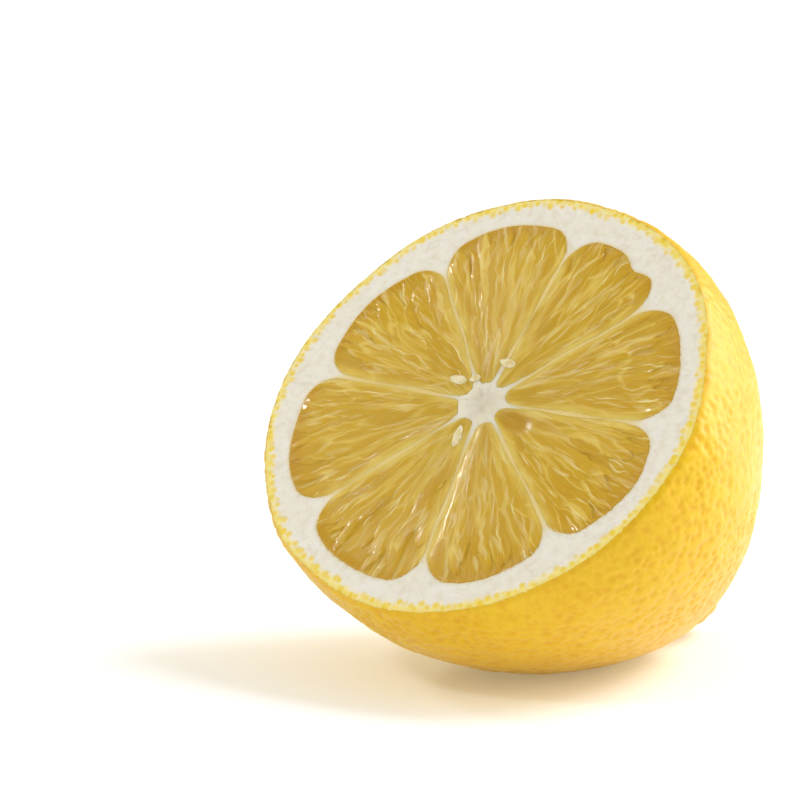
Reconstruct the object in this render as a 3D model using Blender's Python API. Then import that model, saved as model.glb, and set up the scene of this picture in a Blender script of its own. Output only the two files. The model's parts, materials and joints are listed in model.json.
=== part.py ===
"""Half a lemon, cut square across its middle, lying on its peel with the cut face tilted up.

The fruit is modelled in its own frame first: the cut face looks along +Z, the tip points along -Z.
It is then turned into its resting position and trimmed flat where it touches the table.
Units are metres. Run with: blender --background --python part.py
"""

import math

import bmesh
import bpy
from mathutils import Matrix, Vector

# Driving dimensions. Shares are of CUT_RADIUS.
CUT_RADIUS = 0.029  # mean radius of the cut face
WAIST = 1.02  # widest radius, as a share
WAIST_DEPTH = 0.16  # how far behind the cut the fruit is widest, as a share
BODY_LENGTH = 1.58  # cut face to the body's end without its nipple, as a share
LENGTH_POWER = 1.72  # outline exponents: 2 and 2 make an ellipse, less is more pointed
GIRTH_POWER = 1.16
NIPPLE_LENGTH = 0.10  # how far the nipple stands out, as a share
NIPPLE_RADIUS = 0.26  # its half-width, as a share
NIPPLE_POWER = 2.4  # above 2, its flanks are steeper and its end blunter
FURROW_DEPTH = 0.012  # groove round the nipple's foot, as a share
FURROW_RADIUS = 0.38  # where that groove runs, as a share
FURROW_WIDTH = 0.10
LEAN = Vector((0.14, 0.0))  # sideways run of the fruit's axis for each unit behind the cut

# Slow waves of the skin round the fruit: (how many, phase in radians, height as a share of the radius)
WAVES = ((2, 0.9, 0.006), (3, 2.1, 0.006), (5, 2.4, 0.004), (8, 0.3, 0.003))

FACE_ELEVATION = math.radians(40.0)  # how far above the horizon the cut face looks
FLAT_DEPTH = 0.0004  # how deep the peel is pressed flat where it rests

# Mesh density
SIDES = 72
RINGS = 36
TIP_CROWDING = 1.2  # above 1, the rings stand closer together towards the tip

PEEL_COLOUR = (0.93, 0.62, 0.03, 1.0)
PEEL_ROUGHNESS = 0.42


def clear_scene():
    for leftover in list(bpy.data.objects):
        bpy.data.objects.remove(leftover)


def skin_point(along, turn):
    """A point of the skin: along runs from 0 at the tip to 1 at the cut, turn is the angle round the fruit."""
    back_length = BODY_LENGTH - WAIST_DEPTH
    rim_angle = math.acos(-((WAIST_DEPTH / back_length) ** (LENGTH_POWER / 2)))
    cosine = math.cos(along * rim_angle)
    reach = math.copysign(abs(cosine) ** (2 / LENGTH_POWER), cosine)
    radius = WAIST * max(0.0, 1 - abs(reach) ** LENGTH_POWER) ** (1 / GIRTH_POWER)
    depth = WAIST_DEPTH + back_length * reach
    depth += NIPPLE_LENGTH * math.exp(-((radius / NIPPLE_RADIUS) ** NIPPLE_POWER))
    depth -= FURROW_DEPTH * math.exp(-(((radius - FURROW_RADIUS) / FURROW_WIDTH) ** 2))
    radius *= 1 + sum(height * math.cos(count * turn + phase) for count, phase, height in WAVES)
    if along > 1 - 1e-6:
        depth = 0.0
    return CUT_RADIUS * Vector(
        (radius * math.cos(turn) + LEAN.x * depth, radius * math.sin(turn) + LEAN.y * depth, -depth)
    )


def build_body():
    """The half fruit in its own frame: a half sphere drawn out to the skin, closed by the flat cut."""
    body = bmesh.new()
    bmesh.ops.create_uvsphere(body, u_segments=SIDES, v_segments=2 * RINGS, radius=1.0)
    bmesh.ops.bisect_plane(
        body,
        geom=body.verts[:] + body.edges[:] + body.faces[:],
        dist=1e-6,
        plane_co=(0.0, 0.0, 0.0),
        plane_no=(0.0, 0.0, 1.0),
        clear_outer=True,
    )
    tip = Vector((0.0, 0.0, -1.0))
    for corner in body.verts:
        along = (corner.co.angle(tip) / (math.pi / 2)) ** TIP_CROWDING
        corner.co = skin_point(along, math.atan2(corner.co.y, corner.co.x))
    rim = [edge for edge in body.edges if edge.is_boundary]
    bmesh.ops.edgeloop_fill(body, edges=rim)
    bmesh.ops.recalc_face_normals(body, faces=body.faces[:])
    return body


def lay_down(body):
    """Turns the half onto its peel, presses the resting spot flat and centres it over the origin.
    Returns where the middle of the cut face ends up."""
    tilt = Matrix.Rotation(math.pi / 2 - FACE_ELEVATION, 4, "X")
    bmesh.ops.transform(body, matrix=tilt, verts=body.verts[:])
    table = min(corner.co.z for corner in body.verts) + FLAT_DEPTH
    pressed = bmesh.ops.bisect_plane(
        body,
        geom=body.verts[:] + body.edges[:] + body.faces[:],
        dist=1e-7,
        plane_co=(0.0, 0.0, table),
        plane_no=(0.0, 0.0, -1.0),
        clear_outer=True,
    )
    outline = [item for item in pressed["geom_cut"] if isinstance(item, bmesh.types.BMEdge)]
    bmesh.ops.edgeloop_fill(body, edges=outline)
    bmesh.ops.recalc_face_normals(body, faces=body.faces[:])
    low = [min(corner.co[axis] for corner in body.verts) for axis in range(3)]
    high = [max(corner.co[axis] for corner in body.verts) for axis in range(3)]
    shift = Vector((-(low[0] + high[0]) / 2, -(low[1] + high[1]) / 2, -table))
    bmesh.ops.translate(body, vec=shift, verts=body.verts[:])
    return shift


def peel_material():
    material = bpy.data.materials.new("lemon_peel")
    material.use_nodes = True
    shader = material.node_tree.nodes["Principled BSDF"]
    shader.inputs["Base Color"].default_value = PEEL_COLOUR
    shader.inputs["Roughness"].default_value = PEEL_ROUGHNESS
    shader.inputs["Metallic"].default_value = 0.0
    return material


def add_lemon_half():
    body = build_body()
    cut_centre = lay_down(body)
    mesh = bpy.data.meshes.new("lemon_half")
    body.to_mesh(mesh)
    body.free()
    mesh.shade_smooth()
    mesh.set_sharp_from_angle(angle=math.radians(35.0))
    mesh.materials.append(peel_material())
    half = bpy.data.objects.new("lemon_half", mesh)
    bpy.context.scene.collection.objects.link(half)
    print("cut face centre", [round(value, 6) for value in cut_centre])
    return half


clear_scene()
add_lemon_half()
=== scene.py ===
import json
import math

import bmesh
import bpy
import numpy as np
from mathutils import Matrix, Vector, kdtree


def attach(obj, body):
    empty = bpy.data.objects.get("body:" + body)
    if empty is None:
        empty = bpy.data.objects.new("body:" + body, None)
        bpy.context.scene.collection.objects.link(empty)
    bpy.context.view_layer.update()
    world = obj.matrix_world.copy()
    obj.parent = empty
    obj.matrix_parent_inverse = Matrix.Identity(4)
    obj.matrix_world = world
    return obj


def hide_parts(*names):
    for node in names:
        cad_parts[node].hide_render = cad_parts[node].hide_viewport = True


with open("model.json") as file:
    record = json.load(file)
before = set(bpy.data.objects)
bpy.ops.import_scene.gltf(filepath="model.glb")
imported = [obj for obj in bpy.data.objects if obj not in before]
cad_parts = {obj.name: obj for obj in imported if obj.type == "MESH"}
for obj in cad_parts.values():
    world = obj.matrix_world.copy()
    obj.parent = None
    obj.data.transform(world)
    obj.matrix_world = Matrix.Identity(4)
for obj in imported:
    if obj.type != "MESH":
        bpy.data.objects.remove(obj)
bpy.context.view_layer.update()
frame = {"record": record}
scene = bpy.context.scene
mm = 0.001

# The cut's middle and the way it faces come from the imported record.
cutMount = [mount for mount in frame["record"]["mounts"] if mount["name"] == "cut_face"][0]
cutCentre = Vector(cutMount["pos_m"])
cutNormal = Vector(cutMount["axis"])
# Every piece is shaped with the cut looking up and the tip down, then laid on its peel by this.
layDown = Matrix.Translation(cutCentre) @ Matrix.Rotation(math.acos(cutNormal.z), 4, "X")
cutRadius = 0.029  # mean radius of the cut face, which the fruit's shares are shares of
fruitMm = cutRadius / mm
atRim = 1 - 1e-6  # past this share of the way from tip to cut, a point of the skin is on the cut
print("frame loaded, cut face", [round(value, 4) for value in cutCentre])


# helpers for numbers and meshes


def smoothStep(low, high, value):
    share = np.clip((value - low) / (high - low), 0.0, 1.0)
    return share * share * (3.0 - 2.0 * share)


def softNoise(x, y, seed, size=64):
    # value noise on a wrapped lattice of random numbers, from -1 to 1
    lattice = np.random.RandomState(seed).uniform(-1.0, 1.0, (size, size))
    column, row = np.floor(x).astype(int), np.floor(y).astype(int)
    across, up = x - column, y - row
    across, up = across * across * (3 - 2 * across), up * up * (3 - 2 * up)

    def corner(right, above):
        return lattice[(row + above) % size, (column + right) % size]

    low = corner(0, 0) * (1 - across) + corner(1, 0) * across
    high = corner(0, 1) * (1 - across) + corner(1, 1) * across
    return low * (1 - up) + high * up


def layeredNoise(x, y, layers, seedShift=0):
    # each layer has its height, how fine it is along x and y, its shift along both, and its seed
    total = 0.0
    for height, fineX, fineY, shiftX, shiftY, seed in layers:
        total = total + height * softNoise(x * fineX + shiftX, y * fineY + shiftY, seed + seedShift)
    return total


def readPoints(mesh):
    points = np.zeros(len(mesh.vertices) * 3)
    mesh.vertices.foreach_get("co", points)
    return points.reshape(-1, 3)


def readNormals(mesh):
    normals = np.zeros(len(mesh.vertices) * 3)
    mesh.vertex_normals.foreach_get("vector", normals)
    return normals.reshape(-1, 3)


def writePoints(mesh, points):
    mesh.vertices.foreach_set("co", np.ascontiguousarray(points, np.float32).ravel())
    mesh.update()


def giveNumbers(mesh, name, values):
    layer = mesh.attributes.new(name, "FLOAT", "POINT")
    layer.data.foreach_set("value", np.ascontiguousarray(values, np.float32))


def flatGrid(name, across, along):
    grid = bmesh.new()
    bmesh.ops.create_grid(grid, x_segments=across, y_segments=along, size=1.0)
    mesh = bpy.data.meshes.new(name)
    grid.to_mesh(mesh)
    grid.free()
    return mesh


def onCut(radius, turn):
    # places on the cut from a share of its radius and an angle
    return np.stack([radius * np.cos(turn), radius * np.sin(turn)], axis=-1) * cutRadius


def growTree(places):
    # for finding the nearest of these places
    tree = kdtree.KDTree(len(places))
    for index, place in enumerate(places):
        tree.insert(place, index)
    tree.balance()
    return tree


def mergeSeams(mesh, gap=0.002 * mm):
    shell = bmesh.new()
    shell.from_mesh(mesh)
    bmesh.ops.remove_doubles(shell, verts=shell.verts[:], dist=gap)
    bmesh.ops.dissolve_degenerate(shell, edges=shell.edges[:], dist=gap)
    shell.to_mesh(mesh)
    shell.free()


def addPiece(name, mesh, material):
    mesh.transform(layDown)
    points = readPoints(mesh)
    points[:, 2] = np.maximum(points[:, 2], 0.0)  # pressed flat where it meets the table
    writePoints(mesh, points)
    mesh.shade_smooth()
    mesh.materials.append(material)
    piece = bpy.data.objects.new(name, mesh)
    scene.collection.objects.link(piece)
    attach(piece, "root")
    print(name, len(mesh.polygons), "faces")
    return piece


# the fruit's outline, shared by the skin and the cut

bodyShape = {
    "waist": 1.02,
    "waistDepth": 0.16,  # how far behind the cut the fruit is widest
    "length": 1.58,
    "lengthPower": 1.72,
    "girthPower": 1.16,
    "nippleLength": 0.155,
    "nippleRadius": 0.27,
    "nipplePower": 3.0,
    "nippleOff": (0.03, 0.075),  # how far the nipple's middle lies off the axis, across and up
    "tipBlunt": 0.075,  # how much the very end is flattened
    "tipWidth": 0.13,
    "furrowDepth": 0.038,
    "furrowRadius": 0.35,
    "furrowWidth": 0.075,
    "furrowLower": 0.45,  # how much deeper the furrow runs on the underside
    "lean": 0.14,
    # slow waves round the fruit, each with its count, its phase and its height
    "waves": ((2, 0.9, 0.006), (3, 2.1, 0.006), (5, 2.4, 0.004), (8, 0.3, 0.003)),
    "rimWaves": ((1, -2.27, 0.013), (6, 1.2, 0.003), (11, 0.4, 0.002)),
    "rimWaveFade": 0.35,  # how far behind the cut the rim's own waves have nearly gone
}


def waviness(turn, waves):
    return sum(height * np.cos(count * turn + phase) for count, phase, height in waves)


def skinPoints(along, turn):
    # along runs from 0 at the tip to 1 at the cut, turn goes round the fruit
    shape = bodyShape
    backLength = shape["length"] - shape["waistDepth"]
    rimAngle = math.acos(-((shape["waistDepth"] / backLength) ** (shape["lengthPower"] / 2)))
    cosine = np.cos(along * rimAngle)
    reach = np.sign(cosine) * np.abs(cosine) ** (2 / shape["lengthPower"])
    girth = np.clip(1 - np.abs(reach) ** shape["lengthPower"], 0.0, None)
    radius = shape["waist"] * girth ** (1 / shape["girthPower"])
    depth = shape["waistDepth"] + backLength * reach
    offAcross, offUp = shape["nippleOff"]
    around = np.hypot(radius * np.cos(turn) - offAcross, radius * np.sin(turn) - offUp)
    nipple = np.exp(-((around / shape["nippleRadius"]) ** shape["nipplePower"]))
    depth = depth + shape["nippleLength"] * nipple
    depth = depth - shape["tipBlunt"] * np.exp(-((radius / shape["tipWidth"]) ** 2))
    furrow = np.exp(-(((around - shape["furrowRadius"]) / shape["furrowWidth"]) ** 2))
    depth = depth - shape["furrowDepth"] * furrow * (1 - shape["furrowLower"] * np.sin(turn))
    depth = np.where(along > atRim, 0.0, depth)
    radius = radius * (1 + waviness(turn, shape["waves"]))
    radius = radius * (1 + waviness(turn, shape["rimWaves"]) * np.exp(-depth / shape["rimWaveFade"]))
    x = radius * np.cos(turn) + shape["lean"] * depth
    return cutRadius * np.stack([x, radius * np.sin(turn), -depth], axis=-1)


def rimRadius(turn):
    # how far out the cut's edge runs, as a share of the cut radius
    edge = skinPoints(np.ones_like(turn), turn)
    return np.hypot(edge[..., 0], edge[..., 1]) / cutRadius


# helpers for materials

darkToLight = (0.35, 0.65)  # the part of a noise texture's range that its pattern uses


def newMaterial(name):
    material = bpy.data.materials.new(name)
    material.use_nodes = True
    tree = material.node_tree
    return material, tree, tree.nodes["Principled BSDF"]


def setSockets(node, values):
    for name, value in values.items():
        node.inputs[name].default_value = value


def addNode(tree, kind, values=None, **settings):
    node = tree.nodes.new(kind)
    for name, value in settings.items():
        setattr(node, name, value)
    setSockets(node, values or {})
    return node


def attributeOf(tree, name):
    return addNode(tree, "ShaderNodeAttribute", attribute_name=name).outputs["Fac"]


def noiseOn(tree, source, scale, detail=3.0, stretch=(1, 1, 1)):
    mapping = addNode(tree, "ShaderNodeMapping", {"Scale": stretch})
    tree.links.new(source, mapping.inputs["Vector"])
    texture = addNode(tree, "ShaderNodeTexNoise", {"Scale": scale, "Detail": detail, "Roughness": 0.6})
    tree.links.new(mapping.outputs["Vector"], texture.inputs["Vector"])
    return texture.outputs["Fac"]


def rescale(tree, source, fromLow, fromHigh, toLow=0.0, toHigh=1.0):
    node = addNode(
        tree,
        "ShaderNodeMapRange",
        {"From Min": fromLow, "From Max": fromHigh, "To Min": toLow, "To Max": toHigh},
        clamp=True,
    )
    tree.links.new(source, node.inputs["Value"])
    return node.outputs["Result"]


def multiply(tree, first, second):
    node = addNode(tree, "ShaderNodeMath", operation="MULTIPLY")
    for socket, source in zip(node.inputs, (first, second)):
        if isinstance(source, (int, float)):
            socket.default_value = source
        else:
            tree.links.new(source, socket)
    return node.outputs["Value"]


def mixColours(tree, share, first, second):
    node = addNode(tree, "ShaderNodeMix", data_type="RGBA")
    tree.links.new(share, node.inputs["Factor"])
    for socket, source in ((node.inputs[6], first), (node.inputs[7], second)):
        if isinstance(source, tuple):
            socket.default_value = (*source, 1.0)
        else:
            tree.links.new(source, socket)
    return node.outputs[2]


def tintBy(tree, base, name, strength, colour):
    # lays a colour over the base where the mesh's numbers of that name are high
    return mixColours(tree, multiply(tree, attributeOf(tree, name), strength), base, colour)


def addBump(tree, shader, height, distance, strength):
    bump = addNode(tree, "ShaderNodeBump", {"Strength": strength, "Distance": distance})
    tree.links.new(height, bump.inputs["Height"])
    tree.links.new(bump.outputs["Normal"], shader.inputs["Normal"])


# the peel

peel = {
    "subdivisions": 8,
    "pits": 5200,
    "pitJitter": 0.30,
    "pitSizes": (0.55, 1.25),  # the smallest and the largest, as shares of the depth and width below
    "pitDepth": 0.15 * mm,
    "pitWidth": 0.42 * mm,
    "swell": 0.08 * mm,  # how far the skin stands up between the pits
    "swellFrom": 0.1 * mm,  # how far from a pit's middle it begins to rise
    "swellTo": 0.8 * mm,
    "relief": 0.75,  # pits and swells are fuller in some patches than in others
    "reliefPatches": ((0.45, 5.1, 9.3, 20, 0, 5),),
    "lumps": ((0.10 * mm, 9, 15, 30, 0, 6), (0.05 * mm, 23, 37, 80, 0, 7)),
    "calmAtRim": 0.35,  # how much of all this is left at the cut
    "calmDepth": 0.8 * mm,
    "edgeRound": 0.35 * mm,
    "seed": 11,
    "yellow": (0.72, 0.45, 0.004),
    "deepYellow": (0.70, 0.41, 0.003),
    "patchScale": 90,
    "paleYellow": (0.90, 0.62, 0.05),
    "speckleScale": 1500,
    "speckleShare": 0.30,
    "gland": (0.68, 0.345, 0.002),
    "glandShare": 0.75,
    "glandEdge": 1.5,  # above 1, a gland's colour keeps closer to its middle
    "roughness": (0.36, 0.50),
    "grainScale": 2600,
    "grainHeight": 0.04 * mm,
    "grainStrength": 0.5,
    "finish": {
        "Subsurface Weight": 0.15,
        "Subsurface Radius": (1.0, 0.55, 0.15),
        "Subsurface Scale": 0.8 * mm,
        "IOR": 1.45,
        "Specular IOR Level": 0.25,
        "Specular Tint": (1.0, 0.9, 0.15, 1.0),
        "Coat Weight": 0.50,
        "Coat Roughness": 0.36,
    },
}


def pitPlaces():
    # evenly spread turns round the tip, each shaken a little
    draw = np.random.RandomState(peel["seed"])
    count = peel["pits"]
    step = np.arange(count) + 0.5
    spread = math.sqrt(2 * math.pi / count)
    away = np.arccos(np.clip(1 - step / count, -1, 1))
    turn = step * math.pi * (3 - math.sqrt(5))
    away = np.clip(away + draw.normal(0, peel["pitJitter"], count) * spread, 0, math.pi / 2)
    turn = turn + draw.normal(0, peel["pitJitter"], count) * spread / np.maximum(np.sin(away), 0.05)
    return skinPoints(away / (math.pi / 2), turn), draw.uniform(*peel["pitSizes"], count)


def nearestPit(skin):
    # how far the nearest pit is from each point, and how large that pit is
    pits, sizes = pitPlaces()
    tree = growTree(pits)
    near = np.zeros(len(skin))
    size = np.zeros(len(skin))
    for index, place in enumerate(skin):
        _, closest, near[index] = tree.find(place)
        size[index] = sizes[closest]
    return near, size


def lowerHalfBall(name, subdivisions):
    ball = bmesh.new()
    bmesh.ops.create_icosphere(ball, subdivisions=subdivisions, radius=1.0)
    bmesh.ops.bisect_plane(
        ball,
        geom=ball.verts[:] + ball.edges[:] + ball.faces[:],
        dist=1e-5,
        plane_co=(0, 0, 0),
        plane_no=(0, 0, 1),
        clear_outer=True,
    )
    mesh = bpy.data.meshes.new(name)
    ball.to_mesh(mesh)
    ball.free()
    return mesh


def rollEdge(skin, turn):
    # the cut's edge is rounded over, so the skin turns in just below it
    depth = np.clip(-skin[:, 2], 0.0, None)
    roll = peel["edgeRound"]
    turnIn = roll * (1 - np.sqrt(1 - (1 - np.clip(depth / roll, 0, 1)) ** 2))
    outward = np.stack([np.cos(turn), np.sin(turn), np.zeros_like(turn)], axis=-1)
    return skin - outward * turnIn[:, None]


def makePeel(material):
    mesh = lowerHalfBall("peel", peel["subdivisions"])
    ball = readPoints(mesh)
    ball /= np.linalg.norm(ball, axis=1, keepdims=True)
    turn = np.arctan2(ball[:, 1], ball[:, 0])
    along = np.arccos(np.clip(-ball[:, 2], -1, 1)) / (math.pi / 2)
    along = np.where(along > 1 - 2e-5, 1.0, along)  # wider than what the halving leaves uneven
    skin = skinPoints(along, turn)
    writePoints(mesh, skin)
    normals = readNormals(mesh)

    near, size = nearestPit(skin)
    pit = np.exp(-((near / (peel["pitWidth"] * size)) ** 2)) * size
    swell = smoothStep(peel["swellFrom"], peel["swellTo"], near)
    relief = peel["relief"] + layeredNoise(turn, along, peel["reliefPatches"])
    rise = peel["swell"] * swell * relief - peel["pitDepth"] * pit * relief
    rise += layeredNoise(turn, along, peel["lumps"])
    calm = peel["calmAtRim"]
    rise *= calm + (1 - calm) * smoothStep(0.0, peel["calmDepth"], -skin[:, 2])
    skin = rollEdge(skin + normals * rise[:, None], turn)
    skin[:, 2] = np.where(along > atRim, 0.0, np.minimum(skin[:, 2], 0.0))
    writePoints(mesh, skin)
    giveNumbers(mesh, "gland", np.clip(pit, 0, 1) ** peel["glandEdge"])
    return addPiece("peel", mesh, material)


def peelMaterial():
    material, tree, shader = newMaterial("lemonPeel")
    place = addNode(tree, "ShaderNodeTexCoord").outputs["Object"]
    patches = rescale(tree, noiseOn(tree, place, peel["patchScale"], 2.0), *darkToLight)
    speckle = rescale(tree, noiseOn(tree, place, peel["speckleScale"]), *darkToLight)
    base = mixColours(tree, patches, peel["yellow"], peel["deepYellow"])
    base = mixColours(tree, multiply(tree, speckle, peel["speckleShare"]), base, peel["paleYellow"])
    base = tintBy(tree, base, "gland", peel["glandShare"], peel["gland"])
    tree.links.new(base, shader.inputs["Base Color"])
    tree.links.new(rescale(tree, speckle, 0, 1, *peel["roughness"]), shader.inputs["Roughness"])
    setSockets(shader, peel["finish"])
    grain = noiseOn(tree, place, peel["grainScale"], 4.0)
    addBump(tree, shader, grain, peel["grainHeight"], peel["grainStrength"])
    return material


peelPiece = makePeel(peelMaterial())
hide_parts("lemon_half")


# Where the pulp lies in the cut. A segment runs from one membrane to the next, in degrees, and from its
# start out to its reach. A notch in its outer end has a place in degrees, a depth and a width in degrees.
segments = [
    {"from": -1.7, "to": 42.1, "reach": 0.866, "start": 0.095},
    {"from": 42.1, "to": 82.6, "reach": 0.852, "start": 0.075, "notch": (57.5, 0.036, 4.2)},
    {"from": 82.6, "to": 127.3, "reach": 0.884, "start": 0.085},
    {"from": 127.3, "to": 176.0, "reach": 0.866, "start": 0.095},
    {"from": 176.0, "to": 224.2, "reach": 0.886, "start": 0.11},
    {"from": 224.2, "to": 272.9, "reach": 0.868, "start": 0.085},
    {"from": 272.9, "to": 315.0, "reach": 0.856, "start": 0.10},
    {
        "from": 315.0,
        "to": 358.3,
        "reach": 0.882,
        "start": 0.085,
        "notch": (349.5, 0.012, 4.0),
        "hollow": (0.195, 0.08, 2.9, 1.6),  # left by a seed: how far out and aside, and its size in mm
    },
]
cut = {
    "wallHalf": 0.075,  # half a membrane's width in mm
    "wallWave": 0.10,  # how far a membrane wanders, in mm
    "wallFlare": 0.16,  # how much wider it gets at its outer end, in mm
    "flareFrom": 0.60,
    "flareTo": 0.86,
    "spike": 0.10,  # how much wider the membranes start at the core, in mm
    "spikeFrom": 0.27,
    "spikeTo": 0.09,
    "corner": 3.6,  # how round the outer corners of a segment are, in mm
    "innerCorner": 1.0,
    "arch": 0.045,  # how much a segment's outer end bulges
    "endWave": 0.004,
    "sink": 1.3,  # how far a surface dips away under its neighbour, in mm
    # where it dips, from the first to the second of these, in mm inside the pulp's outline
    "underPulp": (0.10, 0.80),
    "underPith": (0.22, -0.50),
}


def middleAndHalf(segment):
    # the middle in degrees, half the angle in radians
    return (segment["from"] + segment["to"]) / 2, math.radians((segment["to"] - segment["from"]) / 2)


def roundedMeet(first, second, corner):
    # how far inside two edges a point lies where their corner is rounded
    return corner - np.hypot(np.maximum(corner - first, 0), np.maximum(corner - second, 0))


def pulpInside(segment, radius, turnDegrees):
    # how far inside a segment's outline a point lies, in mm; below zero outside
    middle, half = middleAndHalf(segment)
    off = np.radians(turnDegrees - middle)
    wave = cut["wallWave"] * np.sin(radius * 17 + segment["from"])
    flare = cut["wallFlare"] * smoothStep(cut["flareFrom"], cut["flareTo"], radius)
    flare = flare + cut["spike"] * smoothStep(cut["spikeFrom"], cut["spikeTo"], radius)
    side = radius * fruitMm * np.sin(np.clip(half - np.abs(off), -0.5, 1.4)) - cut["wallHalf"] - flare
    side = side - wave * np.sign(off)
    reach = segment["reach"] + cut["endWave"] * np.sin(off * 12 + segment["from"])
    reach = reach - cut["arch"] * (off / half) ** 2
    if "notch" in segment:
        place, deep, wide = segment["notch"]
        reach = reach - deep * np.exp(-(((turnDegrees - place) / wide) ** 2))
    outer = (reach - radius) * fruitMm
    inner = (radius - segment["start"]) * fruitMm
    rounded = roundedMeet(side, outer, cut["corner"])
    tucked = roundedMeet(side, inner, cut["innerCorner"])
    return np.minimum(rounded, np.where(inner < cut["innerCorner"], tucked, rounded))


def allInside(radius, turnDegrees):
    best = np.full(radius.shape, -50.0)
    for segment in segments:
        middle, _ = middleAndHalf(segment)
        local = (turnDegrees - middle + 180) % 360 - 180 + middle
        best = np.maximum(best, pulpInside(segment, radius, local))
    return best


# the pith, its core and membranes, and the yellow edge of the cut

pith = {
    "around": 1000,
    "rings": 92,
    "innerRings": 0.36,  # this share of the rings covers the disc out to innerReach
    "innerReach": 0.74,
    "fibres": ((0.6, 1.4, 46, 400, 0, 21), (0.4, 3.1, 95, 900, 0, 22)),
    "middle": (0.0, 0.05),  # the disc is smooth at its very middle, where all its strips meet
    "fibreHeight": 0.075,  # heights, depths and widths are in mm
    "grain": ((1.0, 95, 95, 200, 200, 23),),
    "grainHeight": 0.045,
    "level": -0.04,
    "coreRise": 0.30,
    "coreRiseFrom": 0.13,  # where the core begins to stand up, and where it is highest
    "coreRiseTo": 0.04,
    "edgeGap": 0.24,  # how far inside the skin the disc ends
    "edgeDrop": 0.14,
    "edgeDropWidth": 0.5,
    "edgeBead": 0.10,  # a low bead along the yellow edge, highest this far in
    "edgeBeadAt": 1.0,
    "zestDepth": 1.05,  # how deep the yellow reaches under the skin
    "zestFade": 0.55,
    "ragged": ((0.30, 1.1, 30, 400, 0, 24), (0.15, 2.7, 60, 700, 0, 25)),
    "glands": 205,
    "glandSizes": (0.30, 0.55),
    "glandStrengths": (0.5, 1.0),
    "glandNearest": 0.55,  # how close to the skin the outermost glands lie
    "glandSpread": 0.95,
    "glandZone": 3.2,  # no gland lies deeper than this
    "glandJitter": 0.3,
    "glandFade": (0.55, 1.15),  # where in its radius a gland's colour begins and ends to fade
    "glandSink": 0.05,
    "seed": 3,
    "white": (0.83, 0.81, 0.745),
    "cream": (0.79, 0.745, 0.60),
    "creamShare": 0.45,
    # painted shade: a darker cream laid in the low parts of the fibrous bump
    "shade": (0.68, 0.62, 0.46),
    "dampEdge": (-0.32, 0.12),  # mm inside the pulp's outline, where the white has soaked up juice
    "dampFrom": (0.08, 0.14),  # these and the next are shares of the cut's radius
    "membraneFrom": (0.12, 0.26),
    "membraneTo": (0.80, 0.66),
    "coreTo": (0.17, 0.09),
    # laid over the white in this order, each with its strength and colour
    "tints": {
        "damp": (0.60, (0.84, 0.65, 0.26)),
        "membrane": (0.80, (0.86, 0.62, 0.18)),
        "core": (0.85, (0.93, 0.87, 0.71)),
        "zest": (0.90, (0.93, 0.76, 0.17)),
        "gland": (0.90, (0.86, 0.63, 0.012)),
    },
    "fluffScale": 900,
    "blotchScale": 220,
    "bumpHeight": 0.20 * mm,
    "bumpStrength": 0.85,
    "finish": {
        "Roughness": 0.62,
        "Subsurface Weight": 0.35,
        "Subsurface Radius": (1.0, 0.85, 0.55),
        "Subsurface Scale": 1.4 * mm,
        "IOR": 1.38,
    },
}


def rimGlands():
    # where the oil glands lie along the cut's edge in mm, how large they are and how strongly they show
    draw = np.random.RandomState(pith["seed"])
    count = pith["glands"]
    shaken = draw.uniform(-pith["glandJitter"], pith["glandJitter"], count)
    turn = (np.arange(count) + shaken) * 2 * math.pi / count
    inward = pith["glandNearest"] + pith["glandSpread"] * draw.uniform(0, 1, count)
    reach = rimRadius(turn) * fruitMm - inward
    places = np.stack([reach * np.cos(turn), reach * np.sin(turn), np.zeros(count)], axis=-1)
    return places, draw.uniform(*pith["glandSizes"], count), draw.uniform(*pith["glandStrengths"], count)


def glandCover(radius, turn, below):
    # how much of a gland each point near the skin is
    places, sizes, strengths = rimGlands()
    tree = growTree(places)
    gland = np.zeros(len(radius))
    x, y = radius * fruitMm * np.cos(turn), radius * fruitMm * np.sin(turn)
    for index in np.nonzero(below < pith["glandZone"])[0]:
        _, closest, distance = tree.find((x[index], y[index], 0))
        faded = smoothStep(*pith["glandFade"], distance / sizes[closest])
        gland[index] = strengths[closest] * (1 - faded)
    return gland


def ringShare(step):
    # rings stand closest together between the pulp's ends and the skin
    rings, reach = pith["innerRings"], pith["innerReach"]
    return np.where(step < rings, step / rings * reach, reach + (step - rings) / (1 - rings) * (1 - reach))


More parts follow.
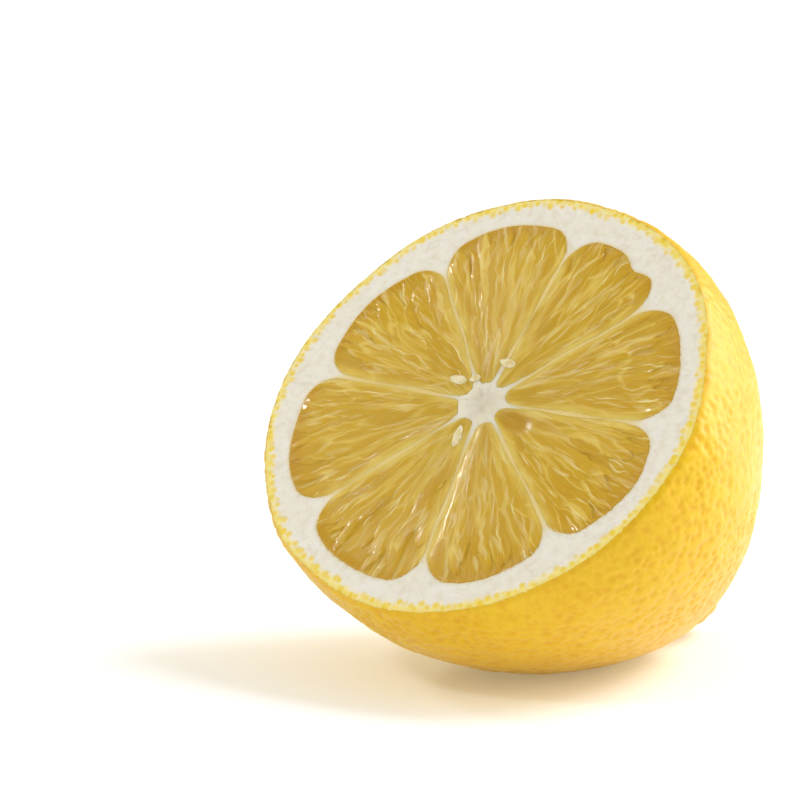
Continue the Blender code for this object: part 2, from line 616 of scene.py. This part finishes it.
def makePith(material):
    mesh = flatGrid("pith", pith["around"], pith["rings"])
    points = readPoints(mesh)
    turn = points[:, 0] * math.pi
    degrees = np.degrees(turn)
    rim = rimRadius(turn)
    radius = ringShare((points[:, 1] + 1) / 2) * rim * (1 - pith["edgeGap"] / fruitMm)
    inside = allInside(radius, degrees)
    below = (rim - radius) * fruitMm
    gland = glandCover(radius, turn, below)
    fibre = layeredNoise(degrees, radius, pith["fibres"])
    grain = layeredNoise(radius * np.cos(turn), radius * np.sin(turn), pith["grain"])
    height = pith["fibreHeight"] * fibre + pith["grainHeight"] * grain
    height = height * smoothStep(*pith["middle"], radius) + pith["level"]
    height += pith["coreRise"] * smoothStep(pith["coreRiseFrom"], pith["coreRiseTo"], radius)
    height -= cut["sink"] * smoothStep(*cut["underPulp"], inside)
    height -= pith["edgeDrop"] * np.clip(1 - below / pith["edgeDropWidth"], 0, 1) ** 2
    bead = pith["edgeBeadAt"]
    height += pith["edgeBead"] * smoothStep(0.0, bead, below) * smoothStep(2 * bead, bead, below)
    height -= pith["glandSink"] * gland
    ragged = layeredNoise(degrees, radius, pith["ragged"])
    zest = 1 - smoothStep(-pith["zestFade"], pith["zestFade"], below - pith["zestDepth"] - ragged)
    writePoints(mesh, np.column_stack([onCut(radius, turn), height * mm]))
    giveNumbers(mesh, "zest", zest)
    giveNumbers(mesh, "gland", gland)
    membrane = smoothStep(*pith["membraneTo"], radius) * smoothStep(*pith["membraneFrom"], radius)
    giveNumbers(mesh, "membrane", membrane)
    giveNumbers(mesh, "core", smoothStep(*pith["coreTo"], radius))
    giveNumbers(mesh, "damp", smoothStep(*pith["dampEdge"], inside) * smoothStep(*pith["dampFrom"], radius))
    mergeSeams(mesh)
    return addPiece("pith", mesh, material)


def pithMaterial():
    material, tree, shader = newMaterial("lemonPith")
    place = addNode(tree, "ShaderNodeTexCoord").outputs["Object"]
    fluff = noiseOn(tree, place, pith["fluffScale"], 5.0)
    blotch = rescale(tree, noiseOn(tree, place, pith["blotchScale"]), 0.35, 0.70)
    base = mixColours(tree, multiply(tree, blotch, pith["creamShare"]), pith["white"], pith["cream"])
    # painted shade: darker where the fibrous bump is low
    base = mixColours(tree, rescale(tree, fluff, 0.52, 0.36, 0.0, 0.42), base, pith["shade"])
    for name, (strength, colour) in pith["tints"].items():
        base = tintBy(tree, base, name, strength, colour)
    tree.links.new(base, shader.inputs["Base Color"])
    setSockets(shader, pith["finish"])
    addBump(tree, shader, fluff, pith["bumpHeight"], pith["bumpStrength"])
    return material


makePith(pithMaterial())


# the pulp, one piece for each segment, covered with long juice sacs

pulp = {
    "across": 184,
    "along": 216,
    "tuck": 0.035,  # how far a piece reaches in under the core
    "overlap": 0.03,  # how far it reaches out under the pith
    "seed": 40,
    "sway": ((0.06, 9, 2, 40, 40, 60), (0.022, 30, 5, 40, 40, 80)),  # how the sacs' lines wander sideways
    "sacHeight": 0.50,
    "sacFloor": -0.22,  # the deepest gap between sacs, in mm before sacHeight is applied
    "fibres": ((0.02, 2.2, 9, 900, 90, 70),),
    "glintRidgeHeight": 0.04,
    "level": -0.02,
    "edgeEase": 1.3,  # mm over which the relief grows from nothing at the outline
    "hollowDepth": 0.22,
    "hollowEdge": (1.15, 0.45),
    "paintedShadeZone": (2.6, 0.2),  # mm from the segment's outer end, where the painted shade is darkest
    "haloWidth": 1.5,  # mm
    "haloTo": (0.68, 0.82),  # the fringe ends here, as shares of the cut's radius
    "fuzz": 0.65,  # how strong the pale fringe along a membrane is, patch by patch
    "fuzzPatches": ((0.5, 0.25, 14, 60, 30, 90),),
    "amber": (0.575, 0.345, 0.004),
    "paleAmber": (0.66, 0.435, 0.010),
    "paleSpan": (0.1, 0.65),  # how much of the pale the darkest and the lightest sac has
    # a darker amber: random darker clouds in the pulp, and the painted shade at the outer ends and in the
    # seed's hollow
    "deepAmber": (0.545, 0.300, 0.002),
    "paintedShadeShare": 0.92,
    "wall": (0.83, 0.65, 0.15),
    "threadShare": 0.45,
    "haloShare": 0.85,
    "wallShare": 0.66,
    # painted highlight: the pale colour of the painted wet glints along the sacs
    "paintedGlint": (0.92, 0.82, 0.42),
    "paintedGlintSpan": (0.30, 0.88),  # how much of a painted glint streak shows between fibres and on them
    "fibreStretch": (9, 130, 1),
    "cloudStretch": (7, 22, 1),
    "bumpHeight": 0.22 * mm,
    "bumpStrength": 0.6,
    "finish": {
        "Roughness": 0.18,
        "Subsurface Weight": 0.9,
        "Subsurface Radius": (0.8, 0.65, 0.28),
        "Subsurface Scale": 0.7 * mm,
        "IOR": 1.36,
        "Specular IOR Level": 0.35,
        "Coat Weight": 0.50,
        "Coat Roughness": 0.03,
    },
}
# Each sac is drawn between these: lengths in mm, the rest as shares.
sacs = {
    "count": 84,
    "lie": (-0.97, 0.97),  # across the segment, from one membrane to the other
    "length": (6.0, 17.0),
    "width": (0.65, 1.30),
    "base": (-0.20, 0.14),
    "rise": (0.20, 0.36),
    "pitch": (-0.25, 0.12),
    "roll": (-0.20, 0.20),
    "bend": (-0.12, 0.12),
    "tailEnd": 0.06,  # no tail comes nearer to the fruit's axis
    "drop": (2.42, 0.62, 0.70),  # outline: its fullness, and its powers at the head and the tail
    "domePower": 0.7,
    "groundTop": -0.45,  # the level where no sac lies, in mm, and what lies under it
    "groundUnder": -0.60,
    "wallWidth": 0.042,  # how near in height two sacs are where the wall between them shows
    "wallOutwards": (0.45, 0.80),  # walls show more from the first to the second share of the radius
}
# painted glints: pale streaks of painted highlight laid along the sacs, each also raising a low ridge
glintStreaks = {
    "count": 48,
    "lie": (-0.9, 0.9),
    "thinShare": 0.40,
    "thin": {"length": (0.5, 2.2), "width": (0.07, 0.16), "bright": (0.35, 1.0), "crisp": 0.4},
    "broad": {"length": (1.0, 3.4), "width": (0.22, 0.50), "bright": (0.18, 0.62), "crisp": 0.0},
    "slant": 0.10,
    "bow": (-0.25, 0.25),
}


def laySacs(segment, seed, radius, side, halfWidth):
    # the highest juice sac over each point: its height in mm, how near its wall is, and its tone
    draw = np.random.RandomState(seed)
    top = np.full(radius.shape, sacs["groundTop"])
    under = np.full(radius.shape, sacs["groundUnder"])
    tone = np.full(radius.shape, 0.5)
    fullness, headPower, tailPower = sacs["drop"]
    for sac in range(sacs["count"]):
        room = segment["reach"] + 0.02 - segment["start"]
        head = segment["start"] + room * math.sqrt(draw.uniform(0.06, 1.0))  # its outer end
        lie = draw.uniform(*sacs["lie"])
        length = min(draw.uniform(*sacs["length"]), (head - sacs["tailEnd"]) * fruitMm)
        wide = draw.uniform(*sacs["width"]) * (0.50 + 0.60 * head)
        base, rise = draw.uniform(*sacs["base"]), draw.uniform(*sacs["rise"]) * wide
        pitch, roll = draw.uniform(*sacs["pitch"]), draw.uniform(*sacs["roll"])
        bend, shade = draw.uniform(*sacs["bend"]), draw.uniform(0.0, 1.0)
        gone = (head - radius) * fruitMm / length
        share = np.clip(gone, 1e-4, 1 - 1e-4)
        width = wide * fullness * share**headPower * (1 - share) ** tailPower
        aside = (side - lie - bend * share * (1 - share) * 4) * halfWidth
        cross = aside / np.maximum(width, 0.02)
        covered = (np.abs(cross) < 1) & (gone > 0) & (gone < 1)
        dome = np.sqrt(np.clip(1 - cross**2, 0, 1)) * (width / wide) ** sacs["domePower"]
        height = base + rise * dome + roll * aside + pitch * (share - 0.4)
        height = np.where(covered, height, -9.0)
        higher = height > top
        under = np.where(higher, top, np.maximum(under, height))
        top = np.where(higher, height, top)
        tone = np.where(higher, shade, tone)
    outer = 0.75 + 0.5 * smoothStep(*sacs["wallOutwards"], radius)
    wall = np.exp(-(((top - under) / sacs["wallWidth"]) ** 2)) * outer
    return top, wall, tone


def layPaintedGlints(segment, seed, radius, side, halfWidth):
    # painted glints: pale streaks of painted wet highlight lying along the sacs, thickest in their middle
    draw = np.random.RandomState(seed)
    mark = np.zeros(radius.shape)
    for glintMark in range(glintStreaks["count"]):
        room = segment["reach"] - segment["start"] - 0.06
        place = segment["start"] + 0.04 + room * draw.uniform(0.0, 1.0) ** 0.75
        lie = draw.uniform(*glintStreaks["lie"])
        kind = glintStreaks["thin"] if draw.uniform() < glintStreaks["thinShare"] else glintStreaks["broad"]
        length = draw.uniform(*kind["length"])
        wide = draw.uniform(*kind["width"]) * (0.6 + 0.6 * place)
        slant = draw.normal(0, glintStreaks["slant"])
        bright = draw.uniform(*kind["bright"])
        bow = draw.uniform(*glintStreaks["bow"])
        gone = (radius - place) * fruitMm / length
        aside = (side - lie) * halfWidth + (slant * gone + bow * gone**2) * length
        width = wide * np.clip(1 - np.abs(gone) ** 1.6, 0, 1) ** 0.8 + 1e-3
        inside = smoothStep(1.15, kind["crisp"], np.abs(aside) / width) * (np.abs(gone) < 1)
        mark = np.maximum(mark, bright * inside)
    return mark


def hollowShape(segment, radius, side, halfWidth):
    # 1 in the hollow where a seed has come out, 0 away from it
    if "hollow" not in segment:
        return np.zeros(radius.shape)
    out, aside, long, wide = segment["hollow"]
    away = np.hypot((radius - out) * fruitMm / long, (side - aside) * halfWidth / wide)
    return smoothStep(*pulp["hollowEdge"], away)


def addSacUv(mesh, radius, degrees):
    # a pattern on this follows the sacs: first along them, then across
    layer = mesh.uv_layers.new(name="alongSac")
    corners = np.zeros(len(mesh.loops), int)
    mesh.loops.foreach_get("vertex_index", corners)
    grain = np.stack([radius[corners], degrees[corners] / 60], axis=-1)
    layer.data.foreach_set("uv", grain.astype(np.float32).ravel())


def makeSegment(number, segment, material):
    name = "segment_" + str(number)
    mesh = flatGrid(name, pulp["across"], pulp["along"])
    points = readPoints(mesh)
    side = points[:, 0]
    low, high = segment["start"] - pulp["tuck"], segment["reach"] + pulp["overlap"]
    radius = low + (points[:, 1] + 1) / 2 * (high - low)
    middle, half = middleAndHalf(segment)
    turn = math.radians(middle) + side * half
    degrees = middle + side * math.degrees(half)
    halfWidth = radius * half * fruitMm
    inside = pulpInside(segment, radius, degrees)
    swayed = side + layeredNoise(radius, side, pulp["sway"], number)
    seed = pulp["seed"] + number
    top, wall, tone = laySacs(segment, seed, radius, swayed, halfWidth)
    # painted highlight streaks along the sacs, which also raise the surface a little
    glintMark = layPaintedGlints(segment, seed + 100, radius, swayed, halfWidth)
    fibre = layeredNoise(degrees, radius, pulp["fibres"], number)
    height = pulp["sacHeight"] * np.maximum(top, pulp["sacFloor"]) + fibre + pulp["glintRidgeHeight"] * glintMark
    height = (height + pulp["level"]) * smoothStep(0.0, pulp["edgeEase"], inside)
    height -= cut["sink"] * smoothStep(*cut["underPith"], inside)
    # painted shade: the pulp's colour darkens towards the segment's outer end, where it tucks under the
    # pith
    deep = smoothStep(*pulp["paintedShadeZone"], (segment["reach"] - radius) * fruitMm)
    fuzz = pulp["fuzz"] + layeredNoise(degrees, radius, pulp["fuzzPatches"], number)
    halo = smoothStep(pulp["haloWidth"], 0.0, inside) * (1 - smoothStep(*pulp["haloTo"], radius))
    halo = np.clip(halo * fuzz, 0, 1)
    hollow = hollowShape(segment, radius, side, halfWidth)
    height = height * (1 - hollow) - pulp["hollowDepth"] * hollow
    writePoints(mesh, np.column_stack([onCut(radius, turn), height * mm]))
    giveNumbers(mesh, "wall", np.clip(wall * (1 - hollow), 0, 1))
    giveNumbers(mesh, "tone", tone)
    giveNumbers(mesh, "paintedGlint", glintMark * (1 - hollow))
    # painted shade at the outer end and in the hollow left by a seed
    giveNumbers(mesh, "deep", np.maximum(deep, hollow))
    giveNumbers(mesh, "halo", halo * (1 - hollow))
    addSacUv(mesh, radius, degrees)
    return addPiece(name, mesh, material)


def pulpMaterial():
    material, tree, shader = newMaterial("lemonPulp")
    uv = addNode(tree, "ShaderNodeUVMap", uv_map="alongSac").outputs["UV"]
    fibres = noiseOn(tree, uv, 1.0, 4.0, pulp["fibreStretch"])
    cloud = noiseOn(tree, uv, 1.0, 3.0, pulp["cloudStretch"])
    tone = rescale(tree, attributeOf(tree, "tone"), 0.0, 1.0, *pulp["paleSpan"])
    base = mixColours(tree, tone, pulp["amber"], pulp["paleAmber"])
    base = mixColours(tree, rescale(tree, cloud, 0.60, 0.30, 0.0, 0.5), base, pulp["deepAmber"])
    # painted shade: darker amber at the segments' outer ends and in the hollow
    base = tintBy(tree, base, "deep", pulp["paintedShadeShare"], pulp["deepAmber"])
    thread = multiply(tree, rescale(tree, fibres, 0.52, 0.68), pulp["threadShare"])
    base = mixColours(tree, thread, base, pulp["wall"])
    base = tintBy(tree, base, "halo", pulp["haloShare"], pulp["wall"])
    base = tintBy(tree, base, "wall", pulp["wallShare"], pulp["wall"])
    # painted highlight: the pale glint streaks laid over the pulp's colour
    glintShare = rescale(tree, fibres, 0.30, 0.60, *pulp["paintedGlintSpan"])
    glintShare = multiply(tree, attributeOf(tree, "paintedGlint"), glintShare)
    base = mixColours(tree, glintShare, base, pulp["paintedGlint"])
    tree.links.new(base, shader.inputs["Base Color"])
    setSockets(shader, pulp["finish"])
    addBump(tree, shader, fibres, pulp["bumpHeight"], pulp["bumpStrength"])
    return material


juicy = pulpMaterial()
for number, segment in enumerate(segments, 1):
    makeSegment(number, segment, juicy)


# the seed stubs near the core

seeds = {
    # each stub's place across and up the cut, how deep it sits in mm, its half length and half width in mm,
    # and how far it is turned in degrees
    "stubs": (
        (0.040, 0.190, 0.05, 1.20, 0.64, -12),
        (-0.160, 0.090, 0.00, 1.30, 0.74, -8),
        (-0.082, 0.104, 0.05, 0.75, 0.52, 25),
        (-0.046, -0.170, 0.05, 1.50, 0.64, -84),
    ),
    "thickness": 0.75,  # as a share of the width
    "girth": 0.86,
    "taper": 0.16,  # how much narrower one end is
    "ripple": 0.04,
    "colour": (0.66, 0.53, 0.22),
    "tip": (0.86, 0.79, 0.56),
    "streakScale": 1300,
    "bumpHeight": 0.02 * mm,
    "bumpStrength": 0.5,
    "finish": {
        "Roughness": 0.18,
        "IOR": 1.40,
        "Coat Weight": 0.5,
        "Coat Roughness": 0.06,
        "Subsurface Weight": 0.3,
        "Subsurface Scale": 0.8 * mm,
    },
}


def makeSeeds(material):
    stubs = bmesh.new()
    for across, up, sunk, longHalf, wideHalf, turned in seeds["stubs"]:
        made = bmesh.ops.create_uvsphere(stubs, u_segments=40, v_segments=24, radius=1.0)["verts"]
        for corner in made:
            taper = seeds["girth"] + seeds["taper"] * corner.co.x
            ripple = 1 + seeds["ripple"] * math.sin(corner.co.x * 9 + corner.co.y * 6)
            corner.co.y *= taper * ripple
            corner.co.z *= taper * ripple
        size = (longHalf * mm, wideHalf * mm, wideHalf * seeds["thickness"] * mm)
        bmesh.ops.scale(stubs, vec=size, verts=made)
        turning = Matrix.Rotation(math.radians(turned), 3, "Z")
        bmesh.ops.rotate(stubs, cent=(0, 0, 0), matrix=turning, verts=made)
        bmesh.ops.translate(stubs, vec=(across * cutRadius, up * cutRadius, sunk * mm), verts=made)
    mesh = bpy.data.meshes.new("seeds")
    stubs.to_mesh(mesh)
    stubs.free()
    return addPiece("seeds", mesh, material)


def seedMaterial():
    material, tree, shader = newMaterial("lemonSeed")
    place = addNode(tree, "ShaderNodeTexCoord").outputs["Object"]
    streaky = noiseOn(tree, place, seeds["streakScale"])
    base = mixColours(tree, rescale(tree, streaky, *darkToLight), seeds["colour"], seeds["tip"])
    tree.links.new(base, shader.inputs["Base Color"])
    setSockets(shader, seeds["finish"])
    addBump(tree, shader, streaky, seeds["bumpHeight"], seeds["bumpStrength"])
    return material


makeSeeds(seedMaterial())


# camera, light and floor

view = {
    "azimuth": 33.86,
    "elevation": 8.755,
    "distance": 13.0,  # this and the next two are shares of the cut radius
    "right": -0.3136,  # how far beside and above the cut's middle the camera aims
    "up": -0.0137,
    "lens": 143.3,
}


def lookFrom(thing, place, target):
    thing.location = place
    thing.rotation_euler = (target - place).to_track_quat("-Z", "Y").to_euler()
    scene.collection.objects.link(thing)


azimuth, elevation = math.radians(view["azimuth"]), math.radians(view["elevation"])
towardsCamera = Vector(
    (math.sin(azimuth) * math.cos(elevation), -math.cos(azimuth) * math.cos(elevation), math.sin(elevation))
)
cameraRight = Vector((math.cos(azimuth), math.sin(azimuth), 0.0))
cameraUp = towardsCamera.cross(cameraRight)
aim = cutCentre + cutRadius * (view["right"] * cameraRight + view["up"] * cameraUp)
eye = cutCentre + cutRadius * view["distance"] * towardsCamera
lens = bpy.data.cameras.new("camera")
lens.lens = view["lens"]
lens.sensor_width = 36.0
lens.clip_start = 0.01
camera = bpy.data.objects.new("camera", lens)
lookFrom(camera, eye, aim)
scene.camera = camera

lamps = {
    "side": {
        "from": (0.80, 1.05, 0.45),
        "away": 0.7,
        "size": 0.60,
        "power": 3.2,
        "colour": (1.0, 0.98, 0.94),
    },
    "front": {
        "from": (-0.32, -0.75, 0.72),
        "away": 0.8,
        "size": 0.12,
        "power": 1.0,
        "colour": (1.0, 1.0, 1.0),
    },
    "glint": {
        "from": (-0.90, -0.10, 0.55),
        "away": 0.8,
        "size": 0.12,
        "power": 0.9,
        "colour": (1.0, 1.0, 1.0),
    },
}
for name, lamp in lamps.items():
    light = bpy.data.lights.new(name, "AREA")
    light.shape = "DISK"
    light.size = lamp["size"]
    light.energy = lamp["power"]
    light.color = lamp["colour"]
    bulb = bpy.data.objects.new(name, light)
    lookFrom(bulb, cutCentre + Vector(lamp["from"]).normalized() * lamp["away"], cutCentre)

# the main light is far away, so it reaches the whole floor evenly
window = {"from": (0.65, 0.70, 1.00), "strength": 1.65, "spread": 34.0, "colour": (1.0, 1.0, 1.10)}
sunlight = bpy.data.lights.new("window", "SUN")
sunlight.energy = window["strength"]
sunlight.angle = math.radians(window["spread"])
sunlight.color = window["colour"]
lookFrom(bpy.data.objects.new("window", sunlight), cutCentre + Vector(window["from"]), cutCentre)

studio = {
    "air": {"Color": (1.0, 0.945, 0.84, 1.0), "Strength": 0.61},
    "floorRadius": 6.0,
    "floorSides": 96,
    "paper": {
        "Base Color": (0.88, 0.90, 0.94, 1.0),
        "Roughness": 0.9,
        "Specular IOR Level": 0.1,
        "Emission Color": (1.0, 0.95, 0.70, 1.0),
        "Emission Strength": 0.19,
    },
}
world = bpy.data.worlds.new("studio")
world.use_nodes = True
setSockets(world.node_tree.nodes["Background"], studio["air"])
scene.world = world

ground = bmesh.new()
bmesh.ops.create_circle(ground, cap_ends=True, segments=studio["floorSides"], radius=studio["floorRadius"])
groundMesh = bpy.data.meshes.new("floor")
ground.to_mesh(groundMesh)
ground.free()
paper, _, paperShader = newMaterial("studioPaper")
setSockets(paperShader, studio["paper"])
groundMesh.materials.append(paper)
floor = bpy.data.objects.new("floor", groundMesh)
scene.collection.objects.link(floor)

scene.view_settings.view_transform = "Standard"
scene.view_settings.look = "None"
print("camera, lights and floor set")
